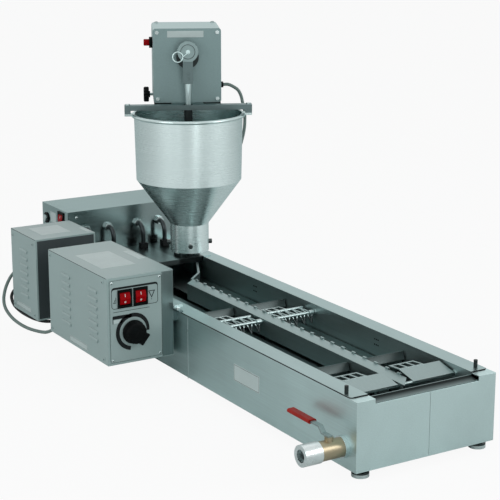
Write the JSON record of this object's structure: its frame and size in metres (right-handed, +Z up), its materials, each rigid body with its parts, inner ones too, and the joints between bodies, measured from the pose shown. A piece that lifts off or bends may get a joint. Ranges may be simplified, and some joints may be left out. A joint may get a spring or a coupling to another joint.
{
  "type": "donut fryer",
  "caption": "Donut fryer: long stainless oil bath with wire flippers, heater box, side control and power units, drain valve and a swivelling dosing hopper with a crank-driven plunger",
  "frame": {"origin": "under the middle of the part's box without its cables, on the table that the feet stand on", "axes": "+Z up; +Y along the bath from the discharge end to the heater box; +X from the control units to the right side of the bath"},
  "size_m": [0.446, 1.081, 0.565],
  "materials": {
    "stainless": "satin sheet",
    "dark_stainless": "dull sheet",
    "bright_steel": "bright",
    "machined_steel": "turned",
    "unit_paint": "satin paint",
    "black_plastic": "matte",
    "red_plastic": "glossy",
    "valve_brass": "dull plated",
    "black_rubber": "matte",
    "grey_cable": "smooth"
  },
  "bodies": {
    "fryer": {"casing_front_left": "stainless", "casing_rear_left": "stainless", "casing_right": "stainless", "base_plate": "stainless", "feet": "bright_steel", "bath_tub": "stainless", "rim_pegs": "dark_stainless", "lane_divider": "stainless", "lane_guide": "stainless", "lane_tray_left": "dark_stainless", "lane_tray_right": "dark_stainless", "rear_cover": "stainless", "heater_elements": "dark_stainless", "heater_glands": "bright_steel", "heater_boots": "black_rubber", "terminal_box": "stainless", "terminal_block": "black_plastic", "switch_bezels": "black_plastic", "power_case": "unit_paint", "power_panel": "dark_stainless", "unit_louvres": "unit_paint", "transformer": "black_plastic", "control_case": "unit_paint", "control_panel": "unit_paint", "unit_rear_panels": "unit_paint", "controller_board": "black_plastic", "unit_brackets": "stainless", "thumb_screws": "bright_steel", "cable_glands": "black_plastic", "link_cable": "grey_cable", "supply_cable": "black_rubber", "drain_collar": "bright_steel", "valve_body": "valve_brass", "valve_cap": "bright_steel", "post": "stainless", "motor_cable": "grey_cable"},
    "dosing_head": {"clamp_block": "machined_steel", "motor_box": "stainless", "motor_cover": "dark_stainless", "head_screws": "bright_steel", "gearmotor": "machined_steel", "motor_fittings": "black_plastic", "yoke": "stainless", "hopper": "stainless", "nozzle": "dark_stainless"},
    "crank": {"crank_disc": "machined_steel"},
    "dosing_rod": {"con_rod": "bright_steel", "plunger": "dark_stainless"},
    "dosing_button": {"push_button": "red_plastic"},
    "clamp_screw": {"clamp_knob": "black_plastic"},
    "flipper": {"mid_flipper": "bright_steel"},
    "outlet_flap": {"exit_flap": "stainless"},
    "heat_switch": {"heat_rocker": "red_plastic"},
    "drive_switch": {"drive_rocker": "red_plastic"},
    "rear_switch": {"rear_rocker": "red_plastic"},
    "knob": {"speed_knob": "black_plastic"},
    "reset": {"reset_button": "bright_steel"},
    "drain_tap": {"valve_ball": "bright_steel", "valve_lever": "stainless", "lever_sleeve": "red_plastic"}
  },
  "joints": [
    {"name": "dosing_swivel", "type": "hinge", "parent": "fryer", "child": "dosing_head", "pos_m": [0.13302, 0.30105, 0.3], "axis": [0, 0, 1], "range_deg": [0, 90], "deforming": ["motor_cable"]},
    {"name": "crank_turn", "type": "hinge", "parent": "dosing_head", "child": "crank", "pos_m": [0.07591, 0.1865, 0.515], "axis": [0.4462, 0.8949, 0], "range_deg": [0, 180]},
    {"name": "plunger_slide", "type": "slide", "parent": "dosing_head", "child": "dosing_rod", "axis": [0, 0, -1], "range_m": [0, 0.023]},
    {"name": "push_button_press", "type": "slide", "parent": "dosing_head", "child": "dosing_button", "axis": [0.8949, -0.4462, 0], "range_m": [0, 0.004], "stiffness_N_per_m": 300},
    {"name": "clamp_knob_turn", "type": "hinge", "parent": "dosing_head", "child": "clamp_screw", "pos_m": [0.12187, 0.27868, 0.4368], "axis": [0.8949, -0.4462, 0], "range_deg": [-180, 180]},
    {"name": "mid_flip", "type": "hinge", "parent": "fryer", "child": "flipper", "pos_m": [0.06091, -0.1085, 0.108], "axis": [1, 0, 0], "range_deg": [0, 150]},
    {"name": "exit_flip", "type": "hinge", "parent": "fryer", "child": "outlet_flap", "pos_m": [0.06091, -0.4835, 0.108], "axis": [1, 0, 0], "range_deg": [0, 70]},
    {"name": "heat_rocker_tilt", "type": "hinge", "parent": "fryer", "child": "heat_switch", "pos_m": [-0.16259, -0.0185, 0.158], "axis": [1, 0, 0], "range_deg": [-10, 10]},
    {"name": "drive_rocker_tilt", "type": "hinge", "parent": "fryer", "child": "drive_switch", "pos_m": [-0.13359, -0.0185, 0.158], "axis": [1, 0, 0], "range_deg": [-10, 10]},
    {"name": "rear_rocker_tilt", "type": "hinge", "parent": "fryer", "child": "rear_switch", "pos_m": [-0.06009, 0.4435, 0.186], "axis": [0, 1, 0], "range_deg": [-10, 10]},
    {"name": "speed_knob_turn", "type": "hinge", "parent": "fryer", "child": "knob", "pos_m": [-0.14809, -0.0215, 0.0995], "axis": [0, 1, 0], "range_deg": [-140, 140]},
    {"name": "reset_button_press", "type": "slide", "parent": "fryer", "child": "reset", "axis": [1, 0, 0], "range_m": [0, 0.003], "stiffness_N_per_m": 300},
    {"name": "drain_valve_turn", "type": "hinge", "parent": "fryer", "child": "drain_tap", "pos_m": [-0.08959, -0.5095, 0.0455], "axis": [0, 0, 1], "range_deg": [0, 90]}
  ],
  "couplings": [
    {"joint": "crank_turn", "follows": "plunger_slide", "rad_per_m": 136.59},
    {"joint": "exit_flip", "follows": "mid_flip", "ratio": 0.4666}
  ]
}
